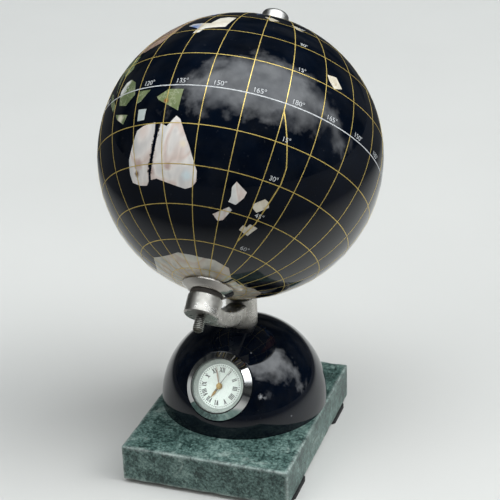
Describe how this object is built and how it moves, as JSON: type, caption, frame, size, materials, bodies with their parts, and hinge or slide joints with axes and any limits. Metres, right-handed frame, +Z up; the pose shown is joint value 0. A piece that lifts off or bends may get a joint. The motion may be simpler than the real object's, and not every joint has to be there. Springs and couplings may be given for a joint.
{
  "type": "desktop globe on stand",
  "caption": "Tilted desk globe with inlaid stone continents, turning on an axle held by a curved bracket over a dome with an insert clock and a marble slab.",
  "frame": {"origin": "on the table, straight below the centre of the globe", "axes": "+Z up, -Y towards the front with the clock, +X to the right of a viewer in front"},
  "size_m": [0.11, 0.11, 0.1753],
  "materials": {
    "marble": "satin",
    "foot_rubber": "matte",
    "lacquer": "polished",
    "steel": "satin",
    "nickel": "satin",
    "zinc_rod": "satin",
    "fibre": "matte",
    "brushed_knob": "satin",
    "bush_plastic": "satin",
    "case_metal": "satin",
    "case_plastic": "satin",
    "bezel_chrome": "polished",
    "gasket_rubber": "matte",
    "dial_white": "satin",
    "dial_silver": "satin",
    "glass": "polished",
    "brass_strip": "satin",
    "gilt": "polished",
    "knob_plastic": "satin",
    "pearl": "polished",
    "jade": "polished",
    "cream_stone": "polished",
    "red_jasper": "polished",
    "blue_stone": "polished",
    "tan_stone": "polished"
  },
  "bodies": {
    "stand": {"marble_slab": "marble", "rubber_feet": "foot_rubber", "dome": "lacquer", "tie_bolt": "steel", "tie_washer": "steel", "bracket": "nickel", "axle_rod": "zinc_rod", "thrust_washer": "fibre", "top_washer": "fibre", "top_knob": "brushed_knob"},
    "globe": {"globe_shell": "lacquer", "north_bush": "bush_plastic", "south_bush": "bush_plastic", "south_cup": "nickel", "stone_alaska": "blue_stone", "stone_brazil": "blue_stone", "stone_china": "red_jasper", "stone_greenland": "pearl", "stone_india": "tan_stone", "stone_indochina": "jade", "stone_japan": "cream_stone", "stone_new_guinea": "jade", "stone_timor": "pearl", "stones_andes": "red_jasper", "stones_antarctica": "pearl", "stones_australia": "pearl", "stones_canada": "tan_stone", "stones_central_africa": "jade", "stones_central_asia": "tan_stone", "stones_europe": "tan_stone", "stones_mexico": "cream_stone", "stones_middle_east": "cream_stone", "stones_new_zealand": "pearl", "stones_north_africa": "tan_stone", "stones_pacific": "cream_stone", "stones_russia": "blue_stone", "stones_southern_africa": "red_jasper", "stones_sunda": "jade", "stones_united_states": "tan_stone"},
    "clock_insert": {"clock_case": "case_metal", "case_cover": "case_plastic", "clock_bezel": "bezel_chrome", "clock_gasket": "gasket_rubber", "clock_dial": "dial_white", "dial_ring": "dial_silver", "clock_glass": "glass", "movement": "case_plastic", "movement_ring": "bush_plastic", "button_cell": "steel", "cell_clip": "brass_strip"},
    "hour_hand": {"hour_hand": "gilt"},
    "minute_hand": {"minute_hand": "gilt", "centre_arbor": "brass_strip", "setting_knob": "knob_plastic"},
    "second_hand": {"second_hand": "gilt"}
  },
  "joints": [
    {"name": "globe_spin", "type": "hinge", "parent": "stand", "child": "globe", "pos_m": [0, 0, 0.1203], "axis": [0, 0.7431, 0.6691], "continuous": true},
    {"name": "clock_pull", "type": "slide", "parent": "stand", "child": "clock_insert", "axis": [-0.0289, -0.8266, 0.5621], "range_m": [0, 0.02]},
    {"name": "minute_turn", "type": "hinge", "parent": "clock_insert", "child": "minute_hand", "pos_m": [-0.00089, -0.03059, 0.0352], "axis": [0.0289, 0.8266, -0.5621], "continuous": true},
    {"name": "hour_turn", "type": "hinge", "parent": "clock_insert", "child": "hour_hand", "pos_m": [-0.00089, -0.03059, 0.0352], "axis": [0.0289, 0.8266, -0.5621], "continuous": true},
    {"name": "second_turn", "type": "hinge", "parent": "clock_insert", "child": "second_hand", "pos_m": [-0.00089, -0.03059, 0.0352], "axis": [0.0289, 0.8266, -0.5621], "continuous": true}
  ],
  "couplings": [
    {"joint": "hour_turn", "follows": "minute_turn", "ratio": 0.083333}
  ]
}
